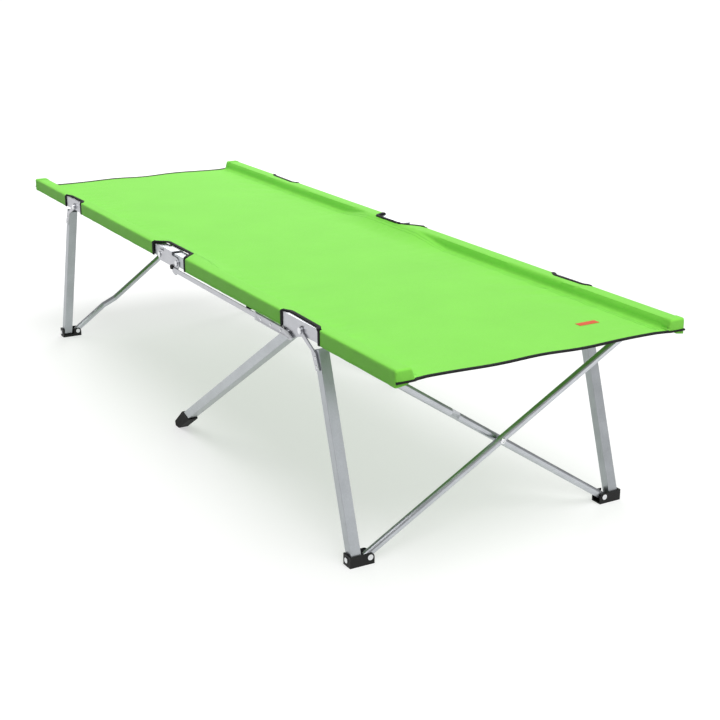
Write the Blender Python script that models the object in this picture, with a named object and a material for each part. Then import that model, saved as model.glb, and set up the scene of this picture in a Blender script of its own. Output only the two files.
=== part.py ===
"""Folding cot with fabric sleeves over jointed rails, two crossed end frames and two middle legs.

Metres, +X along the bed, +Y across it, +Z up, feet on z = 0. The cot is unchanged by half a turn
about +Z, so each piece is built once in corner coordinates and placed at its corners:
a is the distance from the middle of the bed, o the distance inboard of the rail's own middle plane,
and z the height.
"""

import math

import bmesh
import bpy
from mathutils import Vector

for old in list(bpy.data.objects):
    bpy.data.objects.remove(old, do_unlink=True)

# Rails
RAIL_Y = 0.302
RAIL_Z = 0.415
RAIL_HALF = 0.012
RAIL_WALL = 0.0015
RAIL_START = 0.034
RAIL_END = 0.998
# Fabric
SLEEVE_IN = 0.0143
SLEEVE_OUT = 0.0155
SLEEVE_FOOT = 0.4015
SLEEVE_START = 0.108
SLEEVE_END = 1.000
NOTCH_END = 0.734
NOTCH_WIDE = 0.570
NOTCH_NARROW = 0.605
PANEL_LOW = 0.407
PANEL_TOP = 0.409
PANEL_Y = 0.2862
PANEL_NOTCH_Y = 0.268
# Centre bracket and its two hinge pins
HINGE_A = 0.05
HINGE_Z = 0.408
PLATE_IN = 0.0123
PLATE_OUT = 0.0143
PIN_R = 0.003
CLEAR = 0.0003
HEAD_T = 0.002
# Saddle, end leg and its strap
SADDLE_OUT = 0.0140
SADDLE_END = 0.738
SADDLE_FOOT = 0.402
SADDLE_TOP = 0.4290
LEG_A = 0.660
LEG_Z = 0.4105
FOOT_A = 0.839
FOOT_Z = 0.013
CROSS_Z = 0.015
LEAN = math.radians(18.0)
LEG_N = 0.0474
LEG_TOP_U = 0.038
LEG_LENGTH_U = 0.4333
LEG_HALF = 0.010
STRAP_LOW = -0.0173
STRAP_HIGH = -0.0143
# Foot block
BLOCK_HALF = 0.0132
BLOCK_INNER = 0.0116
BLOCK_OUT = -0.0185
BLOCK_IN = 0.034
BLOCK_H = 0.023
# Crossed tubes
CROSS_O = 0.024
CROSS_R = 0.008
CROSS_BORE = 0.0067
LUG_A = 0.8966
LUG_Z = 0.385
BOW = 0.0175
# Middle leg and its link
MID_A = 0.600
MID_Z = 0.3915
MID_FOOT_A = -0.012
MID_FOOT_Z = 0.0006
MID_SLOPE = math.atan2(MID_Z - MID_FOOT_Z, MID_A - MID_FOOT_A)
MID_LENGTH = math.hypot(MID_Z - MID_FOOT_Z, MID_A - MID_FOOT_A)
CAP_LENGTH = 0.086
CAP_HALF = 0.0142
CAP_SLANT = 0.9
MID_TUBE = MID_LENGTH - CAP_LENGTH
LINK_Z = 0.3905


def material(name, colour, metallic, roughness):
    made = bpy.data.materials.new(name)
    made.use_nodes = True
    shader = made.node_tree.nodes["Principled BSDF"]
    shader.inputs["Base Color"].default_value = (*colour, 1.0)
    shader.inputs["Metallic"].default_value = metallic
    shader.inputs["Roughness"].default_value = roughness
    return made


PAINTS = {
    "tube": ((0.62, 0.64, 0.66), 0.9, 0.35),
    "plate": ((0.70, 0.71, 0.72), 0.9, 0.30),
    "steel": ((0.80, 0.80, 0.80), 1.0, 0.25),
    "fabric": ((0.30, 0.85, 0.13), 0.0, 0.85),
    "plastic": ((0.02, 0.02, 0.02), 0.0, 0.5),
    "rubber": ((0.015, 0.015, 0.015), 0.0, 0.8),
}


# Outlines and solids, all in corner coordinates (a, o, z)
def arc(x, y, r, start, end, steps):
    """Points of an arc, angles in degrees."""
    turns = [math.radians(start + (end - start) * i / steps) for i in range(steps + 1)]
    return [(x + r * math.cos(t), y + r * math.sin(t)) for t in turns]


def rectangle(x0, x1, y0, y1):
    return [(x0, y0), (x1, y0), (x1, y1), (x0, y1)]


def solid(outline, along, low, high):
    """An object: the outline, in the two axes other than `along`, drawn from low to high."""
    others = [i for i in range(3) if i != along]
    mesh = bmesh.new()
    rings = []
    for depth in (low, high):
        ring = []
        for x, y in outline:
            point = [0.0, 0.0, 0.0]
            point[others[0]] = x
            point[others[1]] = y
            point[along] = depth
            ring.append(mesh.verts.new(point))
        rings.append(ring)
    mesh.faces.new(rings[0])
    mesh.faces.new(rings[1][::-1])
    join_rings(mesh, rings[0], rings[1])
    return as_object(mesh)


def join_rings(mesh, first, second):
    count = len(first)
    for i in range(count):
        j = (i + 1) % count
        mesh.faces.new((first[i], second[i], second[j], first[j]))


def as_object(mesh):
    bmesh.ops.recalc_face_normals(mesh, faces=mesh.faces)
    data = bpy.data.meshes.new("shape")
    mesh.to_mesh(data)
    mesh.free()
    made = bpy.data.objects.new("shape", data)
    bpy.context.scene.collection.objects.link(made)
    return made


def box(a0, a1, o0, o1, z0, z1):
    return solid(rectangle(o0, o1, z0, z1), 0, a0, a1)


def disc(along, x, y, r, low, high, steps=20):
    return solid(arc(x, y, r, 0, 360 - 360 / steps, steps - 1), along, low, high)


def swept(path, r, steps=16):
    """A round bar along a path that stays in one plane, mitred at its bends."""
    points = [Vector(p) for p in path]
    mesh = bmesh.new()
    rings = []
    side = None
    for i, point in enumerate(points):
        before = (point - points[max(i - 1, 0)]).normalized()
        after = (points[min(i + 1, len(points) - 1)] - point).normalized()
        run = (before + after).normalized()
        if side is None:
            side = run.cross(Vector((1, 0, 0))).normalized()
        across = (side - run * side.dot(run)).normalized()
        other = run.cross(across)
        turns = [2 * math.pi * k / steps for k in range(steps)]
        ring = [point + across * (r * math.cos(t)) + other * (r * math.sin(t)) for t in turns]
        rings.append([mesh.verts.new(p) for p in ring])
    mesh.faces.new(rings[0])
    mesh.faces.new(rings[-1][::-1])
    for first, second in zip(rings, rings[1:]):
        join_rings(mesh, first, second)
    return as_object(mesh)


def combine(body, tools, operation):
    """Applies a Boolean with each tool, then removes the tools."""
    for tool in tools:
        step = body.modifiers.new("Combine", "BOOLEAN")
        step.operation = operation
        step.solver = "EXACT"
        step.object = tool
    graph = bpy.context.evaluated_depsgraph_get()
    result = bpy.data.meshes.new_from_object(body.evaluated_get(graph))
    body.modifiers.clear()
    body.data = result
    for tool in tools:
        bpy.data.objects.remove(tool)
    return body


def cut(body, *tools):
    return combine(body, tools, "DIFFERENCE")


def fuse(body, *tools):
    return combine(body, tools, "UNION")


def place(shape, name, paint, side_x, side_y, pivot=None, smooth=False):
    """Moves a corner-coordinate shape to its corner, names it and puts its origin on its pivot."""
    def world(p):
        return Vector((side_x * p[0], side_y * (RAIL_Y - p[1]), p[2]))

    centre = world(pivot) if pivot else Vector((0, 0, 0))
    mesh = bmesh.new()
    mesh.from_mesh(shape.data)
    for vert in mesh.verts:
        vert.co = world(vert.co) - centre
    bmesh.ops.recalc_face_normals(mesh, faces=mesh.faces)
    if mesh.calc_volume(signed=True) < 0:
        bmesh.ops.reverse_faces(mesh, faces=mesh.faces)
    for face in mesh.faces:
        face.smooth = smooth
    mesh.to_mesh(shape.data)
    mesh.free()
    shape.location = centre
    shape.name = name
    shape.data.name = name
    shape.data.materials.clear()
    shape.data.materials.append(MATERIALS[paint])
    return shape


# Leg directions in the plane of the rail: u down the leg, n square to it and outboard
def on_leg(u, n):
    down = (math.sin(LEAN), -math.cos(LEAN))
    out = (math.cos(LEAN), math.sin(LEAN))
    return (LEG_A + u * down[0] + n * out[0], LEG_Z + u * down[1] + n * out[1])


def on_middle_leg(u, n):
    down = (-math.cos(MID_SLOPE), -math.sin(MID_SLOPE))
    up = (-math.sin(MID_SLOPE), math.cos(MID_SLOPE))
    return (MID_A + u * down[0] + n * up[0], MID_Z + u * down[1] + n * up[1])


def rail():
    """Half of a side rail, with the lug that carries the crossed tube of the opposite foot."""
    low, high = RAIL_Z - RAIL_HALF, RAIL_Z + RAIL_HALF
    inner = RAIL_HALF - RAIL_WALL
    body = box(RAIL_START, RAIL_END, -RAIL_HALF, RAIL_HALF, low, high)
    body = cut(body, box(RAIL_START - 0.01, RAIL_END + 0.01, -inner, inner, RAIL_Z - inner, RAIL_Z + inner))
    holes = [disc(1, HINGE_A, HINGE_Z, PIN_R + CLEAR, -0.03, 0.03)]
    holes.append(disc(1, LEG_A, LEG_Z, 0.0042, -0.03, 0))
    body = cut(body, *holes)
    start = LUG_A + 0.0093
    stem = box(start, start + 0.003, 0, 0.010, LUG_Z + 0.009, low + 0.001)
    outline = arc(CROSS_O, LUG_Z + 0.002, 0.011, -90, 90, 8)
    outline += [(0, 0.398), (0, 0.393), (0.008, 0.386), (0.014, 0.380)]
    return fuse(body, stem, solid(outline, 0, start, start + 0.003))


def saddle(large):
    """The riveted saddle over the rail that the leg turns on."""
    start = NOTCH_WIDE - 0.010 if large else NOTCH_NARROW - 0.007
    outline = [(SADDLE_END, SADDLE_FOOT), (SADDLE_END, SADDLE_TOP), (start, SADDLE_TOP), (start, SADDLE_FOOT)]
    if large:
        outline += [(0.580, SADDLE_FOOT), (0.587, 0.394)]
        outline += arc(MID_A, 0.389, 0.011, 180, 300, 6)
        outline += [(0.640, 0.392), (0.672, SADDLE_FOOT)]
    body = solid(outline, 1, -SADDLE_OUT, -PLATE_IN)
    inner = solid(outline, 1, PLATE_IN, SADDLE_OUT)
    web = box(start, SADDLE_END, -SADDLE_OUT, SADDLE_OUT, SADDLE_TOP - 0.0015, SADDLE_TOP)
    body = fuse(body, inner, web)
    holes = [disc(1, LEG_A, LEG_Z, 0.0042, -0.03, 0)]
    if large:
        holes.append(disc(1, MID_A, MID_Z, PIN_R + CLEAR, -0.03, 0.03))
    return cut(body, *holes)


def headed_pin(a, z, shank_r, shank_end, head_low, head_high, head_r):
    """A rivet across the bed whose head is on the outside."""
    shank = disc(1, a, z, shank_r, head_high - 0.0005, shank_end)
    return fuse(disc(1, a, z, head_r, head_low, head_high), shank)


def through_pin(a, z, reach, head_r):
    """A rivet across a pair of plates, with a head on each."""
    pin = disc(1, a, z, PIN_R, -reach - 0.0005, reach + 0.0005)
    heads = [disc(1, a, z, head_r, reach, reach + HEAD_T), disc(1, a, z, head_r, -reach - HEAD_T, -reach)]
    return fuse(pin, *heads)


def sleeve(notch_start):
    """Fabric channel folded over a rail, cut away outboard at the leg joint."""
    top = RAIL_Z + SLEEVE_OUT
    body = box(SLEEVE_START, SLEEVE_END, -SLEEVE_OUT, SLEEVE_OUT, SLEEVE_FOOT, top)
    hollow = box(SLEEVE_START - 0.01, SLEEVE_END + 0.01, -SLEEVE_IN, SLEEVE_IN, 0.39, RAIL_Z + SLEEVE_IN)
    notch = box(notch_start, NOTCH_END, -0.02, -0.002, 0.39, 0.44)
    return cut(body, hollow, notch)


def strap():
    """Flat steel strap from the rail rivet down the outer face of the end leg."""
    corners = [on_leg(u, n) for u, n in ((0.078, 0.0395), (0.078, 0.0535), (0.045, 0.0490), (0.004, 0.0088))]
    turn = [on_leg(0.0088 * math.cos(t), 0.0088 * math.sin(t)) for t in
            [math.radians(80 + 200 * i / 8) for i in range(9)]]
    body = solid(corners + turn[1:] + [on_leg(0.040, 0.0330)], 1, STRAP_LOW, STRAP_HIGH)
    return cut(body, disc(1, LEG_A, LEG_Z, 0.0042, -0.03, 0))


def end_leg():
    """Rectangular end leg, open at the top and rounded about the foot rivet."""
    end = [on_leg(LEG_LENGTH_U + LEG_HALF * math.cos(t), LEG_N + LEG_HALF * math.sin(t)) for t in
           [math.radians(-90 + 180 * i / 10) for i in range(11)]]
    body = solid([on_leg(LEG_TOP_U, LEG_N - LEG_HALF)] + end + [on_leg(LEG_TOP_U, LEG_N + LEG_HALF)], 1, -0.014, 0.008)
    wall = LEG_HALF - RAIL_WALL
    bore = [on_leg(u, LEG_N + n) for u, n in ((0.02, -wall), (0.426, -wall), (0.426, wall), (0.02, wall))]
    return cut(body, solid(bore, 1, -0.0125, 0.0065), disc(1, FOOT_A, FOOT_Z, PIN_R + CLEAR, -0.03, 0.02))


def foot_block():
    """Moulded foot: a channel closed at its outer end, its inner flange cut low beside the leg."""
    outline = [(BLOCK_OUT, 0.0), (BLOCK_IN, 0.0)] + arc(0.0245, 0.0135, 0.0095, 0, 90, 6) + [(BLOCK_OUT, BLOCK_H)]
    body = solid(outline, 0, FOOT_A - BLOCK_HALF, FOOT_A + BLOCK_HALF)
    channel = box(FOOT_A - BLOCK_INNER, FOOT_A + BLOCK_INNER, -0.0148, 0.05, 0.0025, 0.05)
    lowered = box(FOOT_A - 0.02, FOOT_A - BLOCK_INNER + 0.001, -0.0148, 0.0115, 0.007, 0.05)
    holes = [
        disc(1, FOOT_A, FOOT_Z, PIN_R + CLEAR, -0.03, -0.01),
        disc(0, CROSS_O, CROSS_Z, PIN_R + CLEAR, FOOT_A - 0.03, FOOT_A + 0.03),
    ]
    return cut(body, channel, lowered, *holes)


def cross_pin():
    """Rivet along the bed that the crossed tube turns on in its foot block."""
    reach = BLOCK_HALF + CLEAR
    pin = disc(0, CROSS_O, CROSS_Z, PIN_R, FOOT_A - reach - 0.0005, FOOT_A + reach + 0.0005)
    heads = [
        disc(0, CROSS_O, CROSS_Z, 0.0058, FOOT_A + reach, FOOT_A + reach + 0.0018),
        disc(0, CROSS_O, CROSS_Z, 0.0058, FOOT_A - reach - 0.0018, FOOT_A - reach),
    ]
    return fuse(pin, *heads)


def cross_tube(bowed):
    """Round tube from a foot to the opposite rail's lug; the bowed one steps round the straight one."""
    foot = Vector((FOOT_A, CROSS_O, CROSS_Z))
    lug = Vector((LUG_A, 2 * RAIL_Y - CROSS_O, LUG_Z))
    run = lug - foot
    step = run.normalized()
    ends = [foot - step * 0.005, lug + step * 0.008]
    steps = []
    if bowed:
        for share, shift in ((0.160, 0.0), (0.215, 1.0), (0.675, 1.0), (0.730, 0.0)):
            steps.append(foot + run * share + Vector((-BOW * shift, 0, 0)))
    path = [ends[0], *steps, ends[1]]
    longer = [ends[0] - step * 0.01, *steps, ends[1] + step * 0.01]
    body = swept(path, CROSS_R)
    return cut(body, swept(longer, CROSS_BORE), disc(0, CROSS_O, CROSS_Z, PIN_R + CLEAR, 0.8, 0.88))


def crossing_rivet():
    """Stands on the straight tube where the two tubes cross, and stops just short of the bowed one."""
    middle_a = (FOOT_A + LUG_A) / 2
    middle_z = (CROSS_Z + LUG_Z) / 2
    near = middle_a - BOW + CROSS_R + CLEAR
    return disc(0, RAIL_Y, middle_z, 0.003, near, middle_a - CROSS_R - CLEAR)


def middle_leg():
    """Rectangular middle leg, rounded about its pivot."""
    top = [on_middle_leg(0.01 * math.cos(t), 0.01 * math.sin(t)) for t in
           [math.radians(90 + 180 * i / 10) for i in range(11)]]
    end = [on_middle_leg(MID_TUBE - CAP_SLANT * 0.01, -0.01), on_middle_leg(MID_TUBE + CAP_SLANT * 0.01, 0.01)]
    body = solid(top + end, 1, -0.011, 0.011)
    wall = 0.0085
    bore = [on_middle_leg(u, n) for u, n in ((0.012, -wall), (0.7, -wall), (0.7, wall), (0.012, wall))]
    return cut(body, solid(bore, 1, -0.0095, 0.0095), disc(1, MID_A, MID_Z, PIN_R + CLEAR, -0.03, 0.03))


def cap():
    """Tapered rubber foot of the middle leg, its sole level with the floor."""
    start = MID_TUBE + 2 * CLEAR
    rim = CAP_HALF - 0.001
    outline = [on_middle_leg(start - CAP_SLANT * rim, -rim), on_middle_leg(start + CAP_SLANT * rim, rim)]
    outline += [on_middle_leg(start + CAP_SLANT * rim + 0.006, CAP_HALF), (-0.0095, 0.0106), (-0.006, 0.0)]
    outline += [(0.0136, 0.0), on_middle_leg(start - CAP_SLANT * rim + 0.006, -CAP_HALF)]
    return solid(outline, 1, -0.0118, 0.0118)


def link():
    """Link rod from the centre bracket to the middle leg, with a channel end."""
    rod = box(0.036, 0.470, -0.0166, -0.0146, LINK_Z - 0.0055, LINK_Z + 0.0055)
    end = box(0.462, 0.585, -0.0178, -0.0146, LINK_Z - 0.0085, LINK_Z + 0.0085)
    return fuse(rod, end)


def centre_bracket():
    """Channel that joins the two rail halves, with the lobe for the link."""
    upper = arc(HINGE_A, HINGE_Z, 0.013, -90, 90, 8)
    plain = upper + [(0.024, 0.421), (0.024, 0.4295), (-0.024, 0.4295), (-0.024, 0.421)]
    plain += arc(-HINGE_A, HINGE_Z, 0.013, 90, 270, 8)
    inner = solid(plain, 1, PLATE_IN, PLATE_OUT)
    outer = solid(plain, 1, -PLATE_OUT, -PLATE_IN)
    lobe = solid([(0.018, 0.398), (0.024, 0.382)] + arc(0.040, 0.3865, 0.0085, 250, 350, 5) + [(0.060, 0.400)],
                 1, -PLATE_OUT, -PLATE_IN)
    web = box(-0.024, 0.024, -PLATE_OUT, PLATE_OUT, 0.4275, 0.4295)
    return fuse(outer, inner, web, lobe)


def centre_bracket_drilled():
    holes = [disc(1, side * HINGE_A, HINGE_Z, PIN_R + CLEAR, -0.03, 0.03) for side in (-1, 1)]
    return cut(centre_bracket(), *holes)


def panels():
    """Taut fabric between the sleeves: two halves and the strip between the hinge lines."""
    for name, side in (("left", -1), ("right", 1)):
        y, notch_y = PANEL_Y, PANEL_NOTCH_Y
        outline = [(0.0503, -notch_y), (0.108, -notch_y), (0.108, -y), (0.999, -y)]
        outline += [(a, -o) for a, o in outline[::-1]]
        half = solid(outline, 2, PANEL_LOW, PANEL_TOP)
        for vert in half.data.vertices:
            vert.co.y += RAIL_Y
        place(half, "fabric_panel_" + name, "fabric", side, -1)
    strip = solid(rectangle(-0.0488, 0.0488, -PANEL_NOTCH_Y, PANEL_NOTCH_Y), 2, PANEL_LOW, PANEL_TOP)
    for vert in strip.data.vertices:
        vert.co.y += RAIL_Y
    place(strip, "fabric_panel_centre", "fabric", 1, -1)


CORNERS = {
    "near_right": (1, -1, True),
    "far_left": (-1, 1, True),
    "near_left": (-1, -1, False),
    "far_right": (1, 1, False),
}


def corner(name, side_x, side_y, middle):
    """The ten pieces that every corner has. The straight crossed tube starts at the corners with a middle leg."""
    pivot = (LEG_A, 0, LEG_Z)
    foot = (FOOT_A, 0, FOOT_Z)
    hinge = (HINGE_A, 0, HINGE_Z)
    j_rivet = headed_pin(LEG_A, LEG_Z, 0.0039, -0.006, -0.0196, -0.0176, 0.0066)
    g_rivet = headed_pin(FOOT_A, FOOT_Z, PIN_R, 0.0068, -0.0206, -0.0188, 0.0055)
    pieces = (
        ("rail", rail(), "tube", hinge, False),
        ("saddle", saddle(middle), "plate", hinge, False),
        ("leg_rivet", j_rivet, "steel", hinge, True),
        ("sleeve", sleeve(NOTCH_WIDE if middle else NOTCH_NARROW), "fabric", hinge, False),
        ("strap", strap(), "plate", pivot, False),
        ("leg", end_leg(), "tube", pivot, False),
        ("foot", foot_block(), "plastic", foot, False),
        ("foot_rivet", g_rivet, "steel", foot, True),
        ("cross_rivet", cross_pin(), "steel", foot, True),
        ("cross_tube", cross_tube(not middle), "tube", foot, True),
    )
    for piece, shape, paint, origin, smooth in pieces:
        place(shape, piece + "_" + name, paint, side_x, side_y, origin, smooth)


def middle_pieces(name, side_x, side_y):
    """What belongs to one side's centre bracket and its middle leg."""
    place(centre_bracket_drilled(), "bracket_" + name, "plate", side_x, side_y)
    for label, side in (("inner", 1), ("outer", -1)):
        pin = through_pin(side * HINGE_A, HINGE_Z, 0.0146, 0.0065)
        place(pin, "hinge_pin_" + label + "_" + name, "steel", side_x, side_y, (side * HINGE_A, 0, HINGE_Z), True)
    pivot = (MID_A, 0, MID_Z)
    place(middle_leg(), "middle_leg_" + name, "tube", side_x, side_y, pivot)
    place(cap(), "middle_cap_" + name, "rubber", side_x, side_y, pivot)
    place(through_pin(MID_A, MID_Z, 0.0143, 0.006), "middle_pin_" + name, "steel", side_x, side_y, pivot, True)
    place(link(), "link_" + name, "plate", side_x, side_y, (0.036, 0, LINK_Z))
    place(crossing_rivet(), "crossing_rivet_" + name, "steel", side_x, side_y, (FOOT_A, 0, FOOT_Z), True)


MATERIALS = {name: material(name, *paint) for name, paint in PAINTS.items()}
for corner_name, (x_side, y_side, with_middle) in CORNERS.items():
    corner(corner_name, x_side, y_side, with_middle)
middle_pieces("near", 1, -1)
middle_pieces("far", -1, 1)
panels()
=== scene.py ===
"""Looks of the folding cot: taut lime fabric with rail sleeves, black bindings, metal tubes, black feet."""

import math

import bmesh
import bpy
import numpy as np
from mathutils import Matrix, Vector


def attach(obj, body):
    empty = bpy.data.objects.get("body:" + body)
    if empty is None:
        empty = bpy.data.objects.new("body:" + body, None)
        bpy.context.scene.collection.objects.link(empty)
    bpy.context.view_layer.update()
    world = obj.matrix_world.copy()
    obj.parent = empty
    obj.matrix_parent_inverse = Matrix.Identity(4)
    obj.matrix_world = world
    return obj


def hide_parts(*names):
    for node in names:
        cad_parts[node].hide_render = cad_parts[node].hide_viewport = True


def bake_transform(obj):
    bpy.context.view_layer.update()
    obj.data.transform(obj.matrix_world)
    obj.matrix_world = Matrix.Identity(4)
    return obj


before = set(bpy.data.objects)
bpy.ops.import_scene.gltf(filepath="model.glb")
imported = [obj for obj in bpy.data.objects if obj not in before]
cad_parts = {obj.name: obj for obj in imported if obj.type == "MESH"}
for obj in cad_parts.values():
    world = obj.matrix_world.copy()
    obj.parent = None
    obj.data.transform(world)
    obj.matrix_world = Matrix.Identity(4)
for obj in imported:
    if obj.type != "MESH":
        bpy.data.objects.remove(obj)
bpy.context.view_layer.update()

# Local coordinates: a is the distance from the middle of the bed along it, o the distance inboard of
# a rail's centre plane (outboard is negative), z the height and s a length across the cloth from its hem.
RAIL_Y = 0.302
HINGE_A = 0.05
FOLD_HALF = 0.020
FABRIC_T = 0.0008
PANEL_Z = 0.4088
END_X = 0.9995
TAG_CENTRE = (0.8825, 0.1837)
TAG_SIZE = (0.016, 0.046)
POCKET_OUT = 0.0042
CORNER_Y = 0.3172
SHARP = math.radians(48)


# ---------------------------------------------------------------- materials
def linear(rgb):
    """Scene-linear colour from 0-255 screen values."""
    shares = [c / 255 for c in rgb]
    return tuple(s / 12.92 if s <= 0.04045 else ((s + 0.055) / 1.055) ** 2.4 for s in shares)


class Shader:
    """A Principled material under construction."""

    def __init__(self, name, rgb, roughness, metallic=0.0, **sockets):
        self.material = bpy.data.materials.new(name)
        self.material.use_nodes = True
        self.tree = self.material.node_tree
        self.surface = self.tree.nodes["Principled BSDF"]
        self.colour = (*linear(rgb), 1.0)
        self.set("Base Color", self.colour)
        self.set("Roughness", roughness)
        self.set("Metallic", metallic)
        for socket, value in sockets.items():
            self.set(socket.replace("_", " "), value)

    def set(self, socket, value):
        self.surface.inputs[socket].default_value = value

    def add(self, kind, **values):
        node = self.tree.nodes.new("ShaderNode" + kind)
        for key, value in values.items():
            if key in node.bl_rna.properties:
                setattr(node, key, value)
            else:
                node.inputs[key.replace("_", " ")].default_value = value
        return node

    def link(self, source, target):
        self.tree.links.new(source, target)

    def coordinates(self, kind="Object", scale=(1, 1, 1)):
        source = self.add("TexCoord")
        mapping = self.add("Mapping")
        mapping.inputs["Scale"].default_value = scale
        self.link(source.outputs[kind], mapping.inputs["Vector"])
        return mapping.outputs["Vector"]

    def noise(self, coordinates, scale, detail=3.0):
        node = self.add("TexNoise", Scale=scale, Detail=detail)
        self.link(coordinates, node.inputs["Vector"])
        return node.outputs["Fac"]

    def ramp(self, factor, low, high, first, last):
        node = self.add("ValToRGB")
        node.color_ramp.elements[0].position = low
        node.color_ramp.elements[1].position = high
        node.color_ramp.elements[0].color = first
        node.color_ramp.elements[1].color = last
        self.link(factor, node.inputs["Fac"])
        return node.outputs["Color"]

    def maths(self, operation, a, b):
        node = self.add("Math", operation=operation)
        for socket, value in zip(node.inputs, (a, b)):
            if isinstance(value, (int, float)):
                socket.default_value = value
            else:
                self.link(value, socket)
        return node.outputs[0]

    def vary_colour(self, factor, low, high, darker, lighter):
        """Base colour between two multiples of the plain colour."""
        first = (*[min(c * darker, 1) for c in self.colour[:3]], 1)
        last = (*[min(c * lighter, 1) for c in self.colour[:3]], 1)
        self.link(self.ramp(factor, low, high, first, last), self.surface.inputs["Base Color"])

    def vary_roughness(self, factor, low, high):
        node = self.add("MapRange")
        node.inputs["To Min"].default_value = low
        node.inputs["To Max"].default_value = high
        self.link(factor, node.inputs["Value"])
        self.link(node.outputs["Result"], self.surface.inputs["Roughness"])

    def bump(self, heights):
        """Chains (height, strength, distance) triples into the normal."""
        normal = None
        for height, strength, distance in heights:
            node = self.add("Bump", Strength=strength, Distance=distance)
            self.link(height, node.inputs["Height"])
            if normal is not None:
                self.link(normal, node.inputs["Normal"])
            normal = node.outputs["Normal"]
        self.link(normal, self.surface.inputs["Normal"])


def woven(name, rgb, pitch, roughness=0.82, sheen=0.25, weave=0.55):
    """Plain weave on UVs in metres: threads of the given pitch over and under each other."""
    made = Shader(name, rgb, roughness, Sheen_Weight=sheen, Sheen_Roughness=0.45, Specular_IOR_Level=0.3)
    metres = made.coordinates("UV")
    parts = made.add("SeparateXYZ")
    made.link(metres, parts.inputs["Vector"])
    turn = math.pi / pitch
    warp = made.maths("SINE", made.maths("MULTIPLY", parts.outputs["X"], turn), 0)
    weft = made.maths("SINE", made.maths("MULTIPLY", parts.outputs["Y"], turn), 0)
    over = made.maths("MULTIPLY", warp, weft)
    threads = made.maths("MULTIPLY_ADD", over, 0.5)
    threads.node.inputs[2].default_value = 0.5
    slub = made.noise(made.coordinates("UV", (1, 6, 1)), 90, 4)
    cloud = made.noise(metres, 7, 3)
    creases = made.noise(made.coordinates("UV", (1, 2.2, 1)), 16, 2)
    tone = made.maths("ADD", made.maths("MULTIPLY", threads, 0.30), made.maths("MULTIPLY", slub, 0.35))
    tone = made.maths("ADD", tone, made.maths("MULTIPLY", cloud, 0.35))
    made.vary_colour(tone, 0.25, 0.75, 0.90, 1.07)
    made.vary_roughness(slub, roughness - 0.07, roughness + 0.08)
    made.bump(((creases, 0.20, 0.004), (threads, weave, pitch * 0.35), (slub, 0.25, 0.0003)))
    return made.material


def metal(name, rgb, roughness, along, streak=0.25, anisotropy=0.0):
    """Metal drawn along one axis, with fine streaks, faint cloudiness and small marks."""
    made = Shader(name, rgb, roughness, 1.0, Anisotropic=anisotropy)
    stretch = tuple(0.04 if axis == along else 1.0 for axis in range(3))
    streaks = made.noise(made.coordinates("Object", stretch), 900, 3)
    cloud = made.noise(made.coordinates(), 28, 4)
    marks = made.noise(made.coordinates(), 210, 5)
    tone = made.maths("ADD", made.maths("MULTIPLY", streaks, 0.5), made.maths("MULTIPLY", cloud, 0.5))
    made.vary_colour(tone, 0.32, 0.68, 0.84, 1.06)
    made.vary_roughness(tone, roughness - 0.10, roughness + 0.12)
    made.bump(((streaks, streak, 0.0002), (marks, 0.06, 0.0004)))
    return made.material


def moulded(name, rgb, roughness, grain, scuff):
    """Moulded plastic or rubber: fine grain, and paler scuffs."""
    made = Shader(name, rgb, roughness, Specular_IOR_Level=0.32)
    fine = made.noise(made.coordinates(), grain, 2)
    patches = made.noise(made.coordinates(), 55, 6)
    made.vary_colour(patches, 0.52, 0.80, 1.0, scuff)
    made.vary_roughness(patches, roughness - 0.08, roughness + 0.14)
    made.bump(((fine, 0.30, 0.0003), (patches, 0.10, 0.0008)))
    return made.material


LIME = woven("lime_fabric", (137, 230, 80), 0.0009, sheen=0.15)
BINDING = woven("black_binding", (11, 11, 12), 0.0007, 0.75, 0.05, 0.8)
THREAD = woven("lime_thread", (118, 205, 70), 0.0005, 0.6, 0.2, 0.6)
DARK_THREAD = woven("dark_thread", (42, 42, 44), 0.0005, 0.6, 0.2, 0.6)
TAG = woven("orange_tag", (226, 84, 40), 0.0006, 0.7, 0.2, 0.5)
TUBE_X = metal("aluminium_rail", (184, 188, 192), 0.36, 0)
TUBE_Z = metal("aluminium_leg", (178, 182, 186), 0.38, 2)
TUBE_Y = metal("aluminium_round", (194, 197, 202), 0.32, 1)
PLATE = metal("zinc_plate", (190, 191, 196), 0.34, 0, 0.15)
BRIGHT = metal("bright_rivet", (228, 229, 232), 0.22, 1, 0.05)
PLASTIC = moulded("black_plastic", (13, 13, 14), 0.50, 1400, 2.0)
RUBBER = moulded("black_rubber", (9, 9, 10), 0.72, 900, 2.2)


# ---------------------------------------------------------------- mesh helpers
def new_piece(name, mesh, material, smooth=True):
    """Turns a bmesh into a named object with one material."""
    bmesh.ops.recalc_face_normals(mesh, faces=mesh.faces)
    for face in mesh.faces:
        face.smooth = smooth
    data = bpy.data.meshes.new(name)
    mesh.to_mesh(data)
    mesh.free()
    made = bpy.data.objects.new(name, data)
    bpy.context.scene.collection.objects.link(made)
    data.materials.append(material)
    if smooth:
        data.set_sharp_from_angle(angle=SHARP)
    return made


def settle(obj, *modifiers):
    """Applies modifiers given as (kind, settings) pairs."""
    for kind, settings in modifiers:
        step = obj.modifiers.new(kind.title(), kind)
        for key, value in settings.items():
            setattr(step, key, value)
    graph = bpy.context.evaluated_depsgraph_get()
    evaluated = obj.evaluated_get(graph)
    data = bpy.data.meshes.new_from_object(evaluated, preserve_all_data_layers=True, depsgraph=graph)
    obj.modifiers.clear()
    obj.data = data
    data.set_sharp_from_angle(angle=SHARP)
    return obj


def bridge(mesh, first, second):
    """Joins two rings of vertices with quads."""
    count = len(first)
    for i in range(count):
        j = (i + 1) % count
        mesh.faces.new((first[i], second[i], second[j], first[j]))


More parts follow.
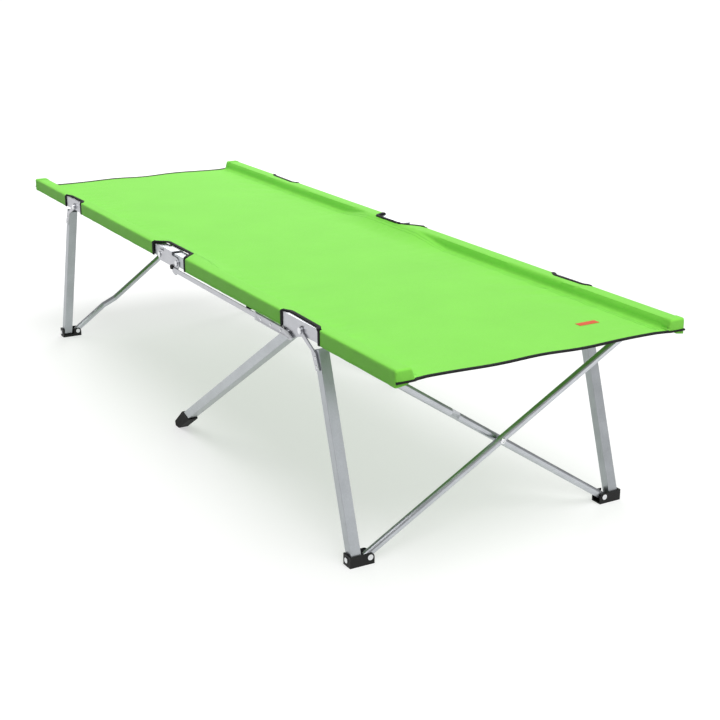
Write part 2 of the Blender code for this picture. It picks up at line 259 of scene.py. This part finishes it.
def lathe(mesh, centre, axis, profile, steps=24):
    """Adds a turned shape: profile gives (radius, height) pairs along the axis from the centre."""
    turn = Vector((0, 0, 1)).rotation_difference(Vector(axis)).to_matrix()
    rings = []
    for radius, height in profile:
        ring = []
        for k in range(steps):
            t = 2 * math.pi * k / steps
            local = Vector((radius * math.cos(t), radius * math.sin(t), height))
            ring.append(mesh.verts.new(Vector(centre) + turn @ local))
        rings.append(ring)
    for first, second in zip(rings, rings[1:]):
        bridge(mesh, first, second)
    mesh.faces.new(rings[0])
    mesh.faces.new(rings[-1][::-1])


def rivet_profile(radius, height, dimple=True):
    """Low domed head with a set in the middle."""
    dome = [(radius, 0.0), (radius, height * 0.35), (radius * 0.92, height * 0.72), (radius * 0.72, height)]
    if dimple:
        dome += [(radius * 0.42, height), (radius * 0.34, height * 0.62), (radius * 0.05, height * 0.55)]
    else:
        dome += [(radius * 0.05, height * 1.05)]
    return dome


# ---------------------------------------------------------------- fabric surface
PANEL_START = 0.020
HEM_Z = 0.3995
OUTER_O = -0.0151
LIFT = 0.0226
LIFT_EDGE = 0.022
LIFT_REACH = 0.062
LIFT_END = 0.260
LIFT_RUN = 0.165
SIDE_WAVE = 0.00035


def clamp(t):
    return min(max(t, 0.0), 1.0)


def smooth(t):
    t = clamp(t)
    return t * t * (3 - 2 * t)


def corner_arc(o, z, r, start, end, steps=5):
    """Points on an arc of the section, between two angles in degrees."""
    turns = [math.radians(start + (end - start) * i / steps) for i in range(steps + 1)]
    return [(o + r * math.cos(t), z + r * math.sin(t)) for t in turns]


def side_section():
    """(inboard offset, height) from the outer hem over the rail and down to the panel."""
    points = [(-0.0150, HEM_Z), (OUTER_O, 0.4095), (OUTER_O, 0.4180)]
    points += corner_arc(-0.0117, 0.4268, 0.0034, 180, 90)
    points += [(-0.002, 0.4302), (0.005, 0.4302)]
    points += corner_arc(0.0126, 0.4253, 0.0050, 90, 28)
    points += [(0.0186, 0.4222), (0.0206, 0.4165)]
    points += corner_arc(0.0290, 0.4188, 0.0100, 206, 262, 6)
    points += [(0.0310, PANEL_Z)]
    return points


SECTION = side_section()
LENGTHS = [0.0]
for before, after in zip(SECTION, SECTION[1:]):
    LENGTHS.append(LENGTHS[-1] + math.dist(before, after))
SIDE_S = LENGTHS[-1]
FLAT_HALF = RAIL_Y - SECTION[-1][0]
TOTAL_S = 2 * (SIDE_S + FLAT_HALF)


def section_at(s):
    """(inboard offset, height) at a length s from the outer hem, on one side."""
    if s >= SIDE_S:
        return SECTION[-1][0] + s - SIDE_S, PANEL_Z
    i = int(np.searchsorted(LENGTHS, s, side="right")) - 1
    t = (s - LENGTHS[i]) / (LENGTHS[i + 1] - LENGTHS[i])
    (o0, z0), (o1, z1) = SECTION[i], SECTION[i + 1]
    return o0 + (o1 - o0) * t, z0 + (z1 - z0) * t


def ripple(x, y, inboard):
    """Height of the cloth's unevenness: a slight sag, pulls from the rails and the leg joints."""
    across = max(0.0, 1 - (y / 0.285) ** 2)
    sag = -0.0022 * across * (0.55 + 0.45 * math.cos(3.1 * x)) * smooth((inboard - 0.025) / 0.05)
    near_rail = math.exp(-max(inboard - 0.026, 0.0) / 0.055) * smooth((inboard - 0.020) / 0.012)
    pulls = 0.00055 * near_rail * math.sin(x * 148 + 2.1 * math.sin(x * 19) + (7 if y > 0 else 0))
    soft = 0.0006 * across * math.sin(9.0 * x + 5.0 * y) * math.sin(6.1 * y - 3.3 * x)
    joint = 0.0
    for centre in (-0.66, 0.66):
        reach = math.exp(-(((x - centre) / 0.16) ** 2) - ((inboard - 0.04) / 0.07) ** 2)
        joint += 0.0011 * reach * math.sin((x - centre) * 70 + inboard * 60)
    edge = 0.0013 * math.exp((abs(x) - END_X) / 0.06) * math.sin(21 * y + 1.4 * math.sin(9 * y) + 2 * x)
    settled = smooth((inboard - 0.024) / 0.03)
    return sag + pulls + soft + joint * smooth((inboard - 0.02) / 0.02) + edge * settled


def cloth_point(x, s):
    """Point of the cloth's upper face at length x along the bed and s across it, from the near hem."""
    sign = -1 if s <= TOTAL_S / 2 else 1
    o, z = section_at(s if sign < 0 else TOTAL_S - s)
    y = sign * (RAIL_Y - o)
    if o > -0.012:  # over the rail and inboard of it, the cloth rises over the centre bracket
        over = PANEL_Z + LIFT * (1 - clamp((o - LIFT_EDGE) / LIFT_REACH)) ** 2
        z += max(over - z, 0.0) * smooth((LIFT_END - abs(x)) / LIFT_RUN)
    if o > PANEL_START:
        z += ripple(x, y, o)
    elif z < 0.425 and o < 0:
        y += sign * SIDE_WAVE * math.sin(x * 61 + 2 * math.sin(x * 23))
    return Vector((x, y, z))


def cloth_normal(x, s):
    """Upward normal of the cloth, from points a short step apart."""
    step = 0.0006
    along = cloth_point(x + step, s) - cloth_point(x - step, s)
    across = cloth_point(x, min(s + step, TOTAL_S)) - cloth_point(x, max(s - step, 0))
    return along.cross(across).normalized()


# ---------------------------------------------------------------- notches
HEM_DEPTH = 0.0313
JOINT_DEPTH = 0.0428
JOINT_END = 0.730
JOINT_WIDE = 0.577
JOINT_NARROW = 0.607
JOINT_CORNER = 0.020
STRIP_ROWS = 16
SIDE_ROWS = 18
FLAT_ROWS = 17
SIDE_REACH = 0.045
CENTRE_ROUND = (0.060, 0.090)
CENTRE_LONG = (0.010, 0.100)
CENTRE_SHARP = (0.0726, 0.099)
CENTRE_NEAR_DEPTH = 0.0590
CENTRE_FAR_DEPTH = 0.0780


def wide_side(x, far):
    """Whether this corner carries a middle leg: near right and far left."""
    return (x > 0) != far


def centre_span(x, far):
    """|x| where the centre notch starts to narrow and where it ends, on the half that x is on."""
    if (x > 0) != far:
        return CENTRE_SHARP
    return CENTRE_LONG if far else CENTRE_ROUND


def centre_depth(x, far):
    """Depth of the centre notch, which clears the bracket: one end narrows evenly, the other is rounded."""
    span = centre_span(x, far)
    deep, side = span
    run = clamp((abs(x) - deep) / (side - deep))
    depth = CENTRE_FAR_DEPTH if far else CENTRE_NEAR_DEPTH
    return depth + (HEM_DEPTH - depth) * (run if span == CENTRE_SHARP else smooth(run))


def notch_cut(x, far):
    """How far in from the hem the cloth is cut away at x, or 0 outside a notch."""
    a = abs(x)
    if a < centre_span(x, far)[1]:
        return centre_depth(x, far)
    start, _ = joint_span(x, far)
    if start <= a <= JOINT_END:
        corner = min(a - start, JOINT_END - a)
        t = (a - start) / (JOINT_END - start)
        return JOINT_DEPTH * (0.80 + 0.20 * smooth(corner / JOINT_CORNER)) * (1 - 0.10 * t)
    return 0.0


def joint_span(x, far):
    """|x| of the two ends of the notch over a leg joint, on the half that x is on."""
    return (JOINT_WIDE if wide_side(x, far) else JOINT_NARROW), JOINT_END


def columns(side, far):
    """Values of |x| along one half, with a line on each notch's end."""
    start, end = joint_span(side, far)
    deep, edge = centre_span(side, far)
    return [0.0, HINGE_A - FOLD_HALF, HINGE_A, deep, HINGE_A + FOLD_HALF, edge, start, end, END_X]


def spaced(marks, step):
    """Values from the first mark to the last, about a step apart, with every mark among them."""
    values = []
    for low, high in zip(marks, marks[1:]):
        count = max(1, round((high - low) / step))
        values += [low + (high - low) * i / count for i in range(count)]
    return [*values, marks[-1]]


def side_rows(cut):
    """Lengths from the hem: a strip that a notch removes, then the rest of the side, then the flat."""
    strip = [cut * i / STRIP_ROWS for i in range(STRIP_ROWS + 1)]
    rest = [cut + (SIDE_S + SIDE_REACH - cut) * (i / SIDE_ROWS) for i in range(1, SIDE_ROWS + 1)]
    middle = TOTAL_S / 2 - SIDE_S - SIDE_REACH
    flat = [SIDE_S + SIDE_REACH + middle * i / FLAT_ROWS for i in range(1, FLAT_ROWS + 1)]
    return strip + rest + flat


def depth_line(x, far):
    """The row that separates the strip from the rest: on the notch's edge inside one, eased outside."""
    a = abs(x)
    start, end = joint_span(x, far)
    inside = notch_cut(x, far)
    if inside:
        return inside
    edge = centre_span(x, far)[1]
    start_edge = notch_cut(math.copysign(start, x), far)
    if a < start:
        t = smooth((a - edge) / (start - edge))
        return HEM_DEPTH + (start_edge - HEM_DEPTH) * t
    return notch_cut(math.copysign(end, x), far)


def fabric_half(side):
    """One half of the cloth, from the middle of the bed to its end, cut at its notches."""
    label = "right" if side > 0 else "left"
    marks = sorted({round(m, 5) for far in (False, True) for m in columns(side, far)})
    spans = spaced(marks, 0.0062)
    mesh = bmesh.new()
    uv = mesh.loops.layers.uv.new("UVMap")
    place = {}
    grid = []
    for a in spans:
        x = side * a
        near = side_rows(depth_line(x, False))
        far = [TOTAL_S - s for s in side_rows(depth_line(x, True))][::-1]
        column = []
        for s in near + far[1:]:
            vert = mesh.verts.new(cloth_point(x, s))
            place[vert] = (x, s)
            column.append(vert)
        grid.append(column)
    rows = len(grid[0])
    for i in range(len(grid) - 1):
        middle = side * (spans[i] + spans[i + 1]) / 2
        for j in range(rows - 1):
            near_strip = j < STRIP_ROWS and notch_cut(middle, False) > 0
            far_strip = j >= rows - 1 - STRIP_ROWS and notch_cut(middle, True) > 0
            if near_strip or far_strip:
                continue
            face = mesh.faces.new((grid[i][j], grid[i + 1][j], grid[i + 1][j + 1], grid[i][j + 1]))
            for loop in face.loops:
                loop[uv].uv = place[loop.vert]
    loose = [v for v in mesh.verts if not v.link_faces]
    bmesh.ops.delete(mesh, geom=loose, context="VERTS")
    mesh.normal_update()
    if sum(face.normal.z * face.calc_area() for face in mesh.faces) < 0:
        bmesh.ops.reverse_faces(mesh, faces=mesh.faces)
    data = bpy.data.meshes.new("fabric_" + label)
    for face in mesh.faces:
        face.smooth = True
    mesh.to_mesh(data)
    mesh.free()
    made = bpy.data.objects.new("fabric_" + label, data)
    bpy.context.scene.collection.objects.link(made)
    data.materials.append(LIME)
    return settle(made, ("SOLIDIFY", {"thickness": FABRIC_T, "offset": -1.0}))


TAPE_SIDES = 10
NOTCH_TAPE = (0.0046, 0.0020)
END_TAPE = (0.0042, 0.0021)


def tape(mesh, uv, path, half_width, half_thick):
    """A flattened tape swept along (point, normal) pairs, straddling the cloth's edge."""
    rings = []
    run = 0.0
    previous = None
    for i, (point, normal) in enumerate(path):
        after = path[min(i + 1, len(path) - 1)][0]
        before = path[max(i - 1, 0)][0]
        along = (after - before).normalized()
        across = normal.cross(along).normalized()
        up = along.cross(across).normalized()
        if previous is not None:
            run += (point - previous).length
        previous = point
        ring = []
        for k in range(TAPE_SIDES):
            t = 2 * math.pi * k / TAPE_SIDES
            flat = math.copysign(abs(math.cos(t)) ** 0.55, math.cos(t))
            lift = math.copysign(abs(math.sin(t)) ** 0.8, math.sin(t))
            vert = mesh.verts.new(point + across * (half_width * flat) + up * (half_thick * lift))
            ring.append((vert, (run, 0.004 * k)))
        rings.append(ring)
    for first, second in zip(rings, rings[1:]):
        for k in range(TAPE_SIDES):
            n = (k + 1) % TAPE_SIDES
            face = mesh.faces.new((first[k][0], second[k][0], second[n][0], first[n][0]))
            values = (first[k][1], second[k][1], second[n][1], first[n][1])
            for loop, value in zip(face.loops, values):
                loop[uv].uv = value
    mesh.faces.new([v for v, _ in rings[0]])
    mesh.faces.new([v for v, _ in rings[-1]][::-1])


def on_cloth(x, s, far, lift=0.0):
    """(point, normal) of the cloth's middle at x and s from the hem of that side."""
    across = TOTAL_S - s if far else s
    normal = cloth_normal(x, across)
    return cloth_point(x, across) + normal * (lift - FABRIC_T / 2), normal


def notch_edges(side, far):
    """Edge lines of the notches on one side of one half, as lists of (x, s)."""
    start, end = joint_span(side, far)
    steps = spaced([start, end], 0.004)
    line = [(side * start, notch_cut(side * start, far) * i / 10) for i in range(10)]
    line += [(side * a, notch_cut(side * a, far)) for a in steps]
    line += [(side * end, notch_cut(side * end, far) * (10 - i) / 10) for i in range(1, 11)]
    deep, edge = centre_span(side, far)
    centre = [(side * a, centre_depth(side * a, far)) for a in spaced([0.0, deep, edge], 0.0025)]
    centre += [(side * edge, HEM_DEPTH * (10 - i) / 10) for i in range(11)]
    return line, centre


def end_edge(side):
    """The end edge's line, from one outer corner across the closed sleeve ends and the panel to the other."""
    line = []
    sleeve_y = CORNER_Y - 0.036
    for y in spaced([-CORNER_Y, -sleeve_y, -0.25, 0.25, sleeve_y, CORNER_Y], 0.005):
        inboard = RAIL_Y - abs(y)
        out = smooth((0.030 - inboard) / 0.012)
        z = PANEL_Z - FABRIC_T / 2 + (ripple(side * END_X, y, inboard) if inboard > PANEL_START else 0.0)
        line.append((Vector((side * (END_X + POCKET_OUT * out), y, z)), Vector((0, 0, 1))))
    return line


def pocket_half(side):
    """The closed ends of the two sleeves: cloth turned over the ends of the rails."""
    mesh = bmesh.new()
    uv = mesh.loops.layers.uv.new("UVMap")
    core_o, core_z = 0.004, 0.4028
    turns = [math.radians(15 * i) for i in range(7)]
    steps = [(-0.016, 1.0), (-0.008, 1.0), (-0.002, 1.0)]
    steps += [(POCKET_OUT * math.sin(t), 1 - 0.16 * (1 - math.cos(t))) for t in turns]
    steps += [(POCKET_OUT + 0.0004 * i, 0.84 - 0.27 * i) for i in (1, 2, 3)]
    rows = [SIDE_S * 0.90 * i / 44 for i in range(45)]
    for far in (False, True):
        sign = 1 if far else -1
        grid = []
        for out, scale in steps:
            ring = []
            for s in rows:
                point, _ = on_cloth(side * END_X, s, far, 0.0011)
                o = RAIL_Y - sign * point.y
                o = core_o + (o - core_o) * scale
                z = core_z + (point.z - core_z) * scale
                ring.append(mesh.verts.new((side * (END_X + out), sign * (RAIL_Y - o), z)))
            grid.append(ring)
        for i in range(len(grid) - 1):
            for j in range(len(rows) - 1):
                face = mesh.faces.new((grid[i][j], grid[i + 1][j], grid[i + 1][j + 1], grid[i][j + 1]))
                for loop in face.loops:
                    loop[uv].uv = (loop.vert.co.x + loop.vert.co.z, loop.vert.co.y)
    made = new_piece("sleeve_ends_" + ("right" if side > 0 else "left"), mesh, LIME, True)
    return settle(made, ("SOLIDIFY", {"thickness": FABRIC_T, "offset": 0.0}))


def binding_half(side):
    """Black tape around the notches and along the end edge."""
    mesh = bmesh.new()
    uv = mesh.loops.layers.uv.new("UVMap")
    for far in (False, True):
        for line in notch_edges(side, far):
            tape(mesh, uv, [on_cloth(x, s, far) for x, s in line], *NOTCH_TAPE)
    tape(mesh, uv, end_edge(side), *END_TAPE)
    return new_piece("binding_" + ("right" if side > 0 else "left"), mesh, BINDING, True)


THREAD_ANGLES = (0.0, 1.257, 2.513, 3.770, 5.027)


def stitches(mesh, uv, points, pitch=0.0036, length=0.0026, half=0.00042):
    """Short threads lying along a line of (point, normal) pairs."""
    travelled = 0.0
    for (p, n), (q, _) in zip(points, points[1:]):
        gap = (q - p).length
        along = (q - p).normalized()
        across = n.cross(along)
        while travelled <= gap:
            middle = p + along * travelled
            rings = []
            for t, scale in ((-0.5, 0.35), (-0.28, 1.0), (0.28, 1.0), (0.5, 0.35)):
                centre = middle + along * (t * length) + n * (half * 0.5 * scale)
                radius = half * scale
                offsets = [(radius * math.cos(a), radius * math.sin(a)) for a in THREAD_ANGLES]
                rings.append([mesh.verts.new(centre + across * flat + n * lift) for flat, lift in offsets])
            for first, second in zip(rings, rings[1:]):
                bridge(mesh, first, second)
            mesh.faces.new(rings[0])
            mesh.faces.new(rings[-1][::-1])
            travelled += pitch
        travelled -= gap
    for face in mesh.faces:
        for loop in face.loops:
            loop[uv].uv = (loop.vert.co.x, loop.vert.co.y)


SEAM_GAP = 0.004
SEAM_ROWS = (0.0042, SIDE_S - 0.0015, SIDE_S + 0.0052)


def seam_half(side, s, far):
    """Points of a seam along one side, in runs that stop clear of the notches."""
    runs, run = [], []
    for a in spaced([0.0, HINGE_A, END_X - 0.012], 0.006):
        x = side * a
        cut = notch_cut(x, far)
        beside = abs(a - centre_span(x, far)[1]) < SEAM_GAP and s < centre_depth(x, far)
        if cut and cut + SEAM_GAP > s or beside:
            if len(run) > 1:
                runs.append(run)
            run = []
            continue
        run.append(on_cloth(x, s, far, FABRIC_T / 2))
    if len(run) > 1:
        runs.append(run)
    return runs


def stitching_half(side):
    """Seams: twin rows where the sleeve meets the panel, a hem row, and a dark row along the end edge's
    binding.
    """
    mesh = bmesh.new()
    uv = mesh.loops.layers.uv.new("UVMap")
    for far in (False, True):
        for s in SEAM_ROWS:
            for run in seam_half(side, s, far):
                stitches(mesh, uv, run)
    label = "right" if side > 0 else "left"
    lime = new_piece("stitching_" + label, mesh, THREAD, True)
    mesh = bmesh.new()
    uv = mesh.loops.layers.uv.new("UVMap")
    stitches(mesh, uv, [(point + normal * 0.0016, normal) for point, normal in end_edge(side)])
    dark = new_piece("binding_stitching_" + label, mesh, DARK_THREAD, True)
    return lime, dark


def tag_piece():
    """Small plain woven label sewn flat on the panel near one corner."""
    mesh = bmesh.new()
    uv = mesh.loops.layers.uv.new("UVMap")
    across, down = 8, 20
    grid = []
    for i in range(across + 1):
        x = TAG_CENTRE[0] + TAG_SIZE[0] * (i / across - 0.5)
        column = []
        for j in range(down + 1):
            y = TAG_CENTRE[1] + TAG_SIZE[1] * (j / down - 0.5)
            rim = min(i, across - i, j, down - j) == 0
            point = cloth_point(x, TOTAL_S / 2 + y)
            column.append(mesh.verts.new(point + Vector((0, 0, 0.0004 if rim else 0.0007))))
        grid.append(column)
    for i in range(across):
        for j in range(down):
            face = mesh.faces.new((grid[i][j], grid[i + 1][j], grid[i + 1][j + 1], grid[i][j + 1]))
            for loop in face.loops:
                loop[uv].uv = loop.vert.co.xy
    made = new_piece("tag", mesh, TAG, True)
    return settle(made, ("SOLIDIFY", {"thickness": 0.0005, "offset": 0.0}))


def dress(side):
    """Builds one half's cloth and its trims, hides the CAD nodes they stand in for, and bakes their
    placements into their meshes.
    """
    label = "right" if side > 0 else "left"
    cloth = fabric_half(side)
    trims = [binding_half(side), pocket_half(side), *stitching_half(side)]
    nodes = ["fabric_panel_" + label] + ["sleeve_" + row + "_" + label for row in ("near", "far")]
    if side > 0:
        nodes.append("fabric_panel_centre")
        trims.append(tag_piece())
    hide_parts(*nodes)
    for piece in (cloth, *trims):
        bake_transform(piece)


for half in (1, -1):
    dress(half)


# ---------------------------------------------------------------- CAD nodes: edges and finishes
FINISHES = (
    ("rail_", TUBE_X), ("leg_rivet", BRIGHT), ("leg_", TUBE_Z), ("middle_leg", TUBE_X),
    ("cross_tube", TUBE_Y),
    ("saddle", PLATE), ("bracket", PLATE), ("strap", PLATE), ("link", PLATE), ("foot_rivet", BRIGHT),
    ("cross_rivet", BRIGHT), ("crossing", BRIGHT), ("hinge_pin", BRIGHT), ("middle_pin", BRIGHT),
    ("middle_cap", RUBBER), ("foot_", PLASTIC),
)
EDGES = {"leg_near": 0.0012, "leg_far": 0.0012, "middle_leg": 0.0012, "middle_cap": 0.0026, "foot_": 0.0011,
         "saddle": 0.0004, "bracket": 0.0005, "strap": 0.0006, "link": 0.0005, "rail": 0.0008}


def finish_nodes():
    """Gives each CAD node that shows its metal, plastic or rubber, and eases its edges."""
    for name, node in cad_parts.items():
        if node.hide_render:
            continue
        chosen = next(m for prefix, m in FINISHES if name.startswith(prefix))
        node.data.materials.clear()
        node.data.materials.append(chosen)
        width = next((w for prefix, w in EDGES.items() if name.startswith(prefix)), 0)
        if width and not name.startswith(("foot_rivet", "leg_rivet")):
            weld = node.modifiers.new("Weld", "WELD")
            weld.merge_threshold = 1e-6
            bevel = node.modifiers.new("Edges", "BEVEL")
            bevel.width = width
            bevel.segments = 2
            bevel.limit_method = "ANGLE"
            bevel.angle_limit = math.radians(38)
            bevel.use_clamp_overlap = True


finish_nodes()


# ---------------------------------------------------------------- small hardware
CORNERS = ((1, -1, "near_right"), (-1, 1, "far_left"), (-1, -1, "near_left"), (1, 1, "far_right"))
MIDDLE_SIDES = ((1, -1, "near"), (-1, 1, "far"))
LEG_TOP = (0.660, 0.4105)
LEG_LEAN = math.radians(18)
STRAP_RIVETS = ((0.054, 0.0445), (0.071, 0.0465))
STRAP_FACE = -0.0172
LUG_RIVET = (0.9088, 0.024, 0.3870)
PLUG_SPOT = (0.024, -0.0143, 0.3945)
PLUG_PROFILE = ((0.0056, 0.0), (0.0056, 0.0030), (0.0048, 0.0042),
                (0.0024, 0.0044), (0.0020, 0.0034), (0.0003, 0.0034))
LINK_FACE = -0.0186
LINK_Z = 0.3905
LINK_RIVETS = (0.492, 0.536, 0.580)
CROSSING_A = 0.8755
CROSSING_Z = 0.200
TONGUE_MIDDLE = 0.545
TONGUE_RINGS = ((0.0, -0.0179), (0.0, -0.0186), (0.0006, -0.0191), (0.0022, -0.0191), (0.0030, -0.0186))


def corner_point(side_x, side_y, a, o, z):
    """World place of a point given in local coordinates on one side and end of the bed."""
    return Vector((side_x * a, side_y * (RAIL_Y - o), z))


def heads(name, body, spots, axis, profile, material=BRIGHT):
    """Turned heads at several spots, as one piece that rides on a body."""
    mesh = bmesh.new()
    for spot in spots:
        lathe(mesh, spot, axis, profile)
    piece = new_piece(name, mesh, material, True)
    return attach(piece, body)


def on_leg(u, n):
    """(a, z) at a length down an end leg and a distance off its centre line."""
    lean_sin, lean_cos = math.sin(LEG_LEAN), math.cos(LEG_LEAN)
    return LEG_TOP[0] + u * lean_sin + n * lean_cos, LEG_TOP[1] - u * lean_cos + n * lean_sin


def tongue(name, body, side_x, side_y):
    """Pressed steel end of the link rod, with a turned-in rim, that reaches over the middle leg's pivot."""
    low, high, tip = 0.3825, 0.3985, 0.627
    outline = [(0.470, low), (0.604, low), (0.618, 0.3805), (tip, 0.3840), (tip, 0.3895), (0.612, 0.3965)]
    outline += [(0.590, high), (0.470, high)]
    middle = (low + high) / 2
    mesh = bmesh.new()
    rings = []
    for inset, out in TONGUE_RINGS:
        ring = []
        for a, z in outline:
            inset_a = TONGUE_MIDDLE + (a - TONGUE_MIDDLE) * (1 - inset / 0.08)
            inset_z = middle + (z - middle) * (1 - inset / 0.008)
            ring.append(mesh.verts.new(corner_point(side_x, side_y, inset_a, out, inset_z)))
        rings.append(ring)
    for first, second in zip(rings, rings[1:]):
        bridge(mesh, first, second)
    mesh.faces.new(rings[0])
    mesh.faces.new(rings[-1][::-1])
    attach(new_piece(name, mesh, PLATE, True), body)


for side_x, side_y, label in CORNERS:
    end = "right" if side_x > 0 else "left"
    places = [on_leg(u, n) for u, n in STRAP_RIVETS]
    spots = [corner_point(side_x, side_y, a, STRAP_FACE, z) for a, z in places]
    heads("strap_rivets_" + label, end + "_legs", spots, (0, side_y, 0), rivet_profile(0.0034, 0.0012))
    lug = corner_point(side_x, side_y, *LUG_RIVET)
    heads("lug_rivet_" + label, end + "_half", [lug], (side_x, 0, 0), rivet_profile(0.0055, 0.0018))

for side_x, side_y, label in MIDDLE_SIDES:
    end = "right" if side_x > 0 else "left"
    outward = (0, side_y, 0)
    plug = corner_point(side_x, side_y, *PLUG_SPOT)
    heads("bracket_plug_" + label, "centre", [plug], outward, PLUG_PROFILE, PLASTIC)
    tongue("link_tongue_" + label, "link_" + label, side_x, side_y)
    spots = [corner_point(side_x, side_y, a, LINK_FACE, LINK_Z) for a in LINK_RIVETS]
    heads("link_rivets_" + label, "link_" + label, spots, outward, rivet_profile(0.0032, 0.0011))
    crossing = Vector((side_x * CROSSING_A, 0, CROSSING_Z))
    heads("crossing_head_" + label, end + "_cross", [crossing], (side_x, 0, 0), rivet_profile(0.0062, 0.0022))


# ---------------------------------------------------------------- stage, lights and camera
FLOOR_HALF = 30.0
DOME_RADIUS = 42.0
FLOOR_GLOW = 0.55
AMBIENT = 0.32
AIM = Vector((0, 0, 0.3))
CAMERA_PLACE = (2.828, -1.428, 1.146)
CAMERA_PITCH = 18.06
CAMERA_TURN = 60.27
CAMERA_LENS = 67.8


def stage_floor():
    """A pale floor that glows a little, so that shadows on it stay light, and doesn't light matt surfaces."""
    mesh = bmesh.new()
    bmesh.ops.create_grid(mesh, x_segments=1, y_segments=1, size=FLOOR_HALF)
    paint = Shader("floor", (182, 182, 182), 0.8, Emission_Color=(1, 1, 1, 1), Emission_Strength=FLOOR_GLOW)
    floor = new_piece("floor", mesh, paint.material, False)
    floor.visible_diffuse = False


def stage_backdrop():
    """A white dome seen by the camera only, so that the view above the floor's edge stays pale."""
    mesh = bmesh.new()
    bmesh.ops.create_uvsphere(mesh, u_segments=64, v_segments=32, radius=DOME_RADIUS)
    paint = Shader("backdrop", (0, 0, 0), 1.0, Emission_Color=(1, 1, 1, 1), Emission_Strength=1.0)
    paint.set("Specular IOR Level", 0.0)
    dome = new_piece("backdrop", mesh, paint.material)
    dome.visible_diffuse = dome.visible_glossy = dome.visible_shadow = False
    dome.visible_transmission = dome.visible_volume_scatter = False


def light(name, kind, location, power, **settings):
    """A light aimed at the middle of the cot."""
    data = bpy.data.lights.new(name, kind)
    data.energy = power
    for key, value in settings.items():
        setattr(data, key, value)
    made = bpy.data.objects.new(name, data)
    made.location = location
    made.rotation_euler = (AIM - Vector(location)).to_track_quat("-Z", "Y").to_euler()
    made.visible_camera = False
    bpy.context.scene.collection.objects.link(made)


stage_floor()
stage_backdrop()
light("key", "SUN", (1.7, 0.1, 4.4), 2.5, angle=math.radians(50))
light("back", "AREA", (-3.7, 2.1, 2.2), 55, shape="DISK", size=2.6)
light("side", "AREA", (3.4, 1.2, 0.95), 9, shape="DISK", size=2.0)
world = bpy.data.worlds.new("studio")
world.use_nodes = True
world.node_tree.nodes["Background"].inputs["Color"].default_value = (1, 1, 1, 1)
world.node_tree.nodes["Background"].inputs["Strength"].default_value = AMBIENT
bpy.context.scene.world = world
bpy.context.scene.view_settings.view_transform = "Standard"

camera_data = bpy.data.cameras.new("camera")
camera_data.sensor_width = 36
camera_data.lens = CAMERA_LENS
camera_data.clip_end = 100
camera = bpy.data.objects.new("camera", camera_data)
camera.location = CAMERA_PLACE
camera.rotation_euler = (math.radians(90 - CAMERA_PITCH), 0, math.radians(CAMERA_TURN))
bpy.context.scene.collection.objects.link(camera)
bpy.context.scene.camera = camera
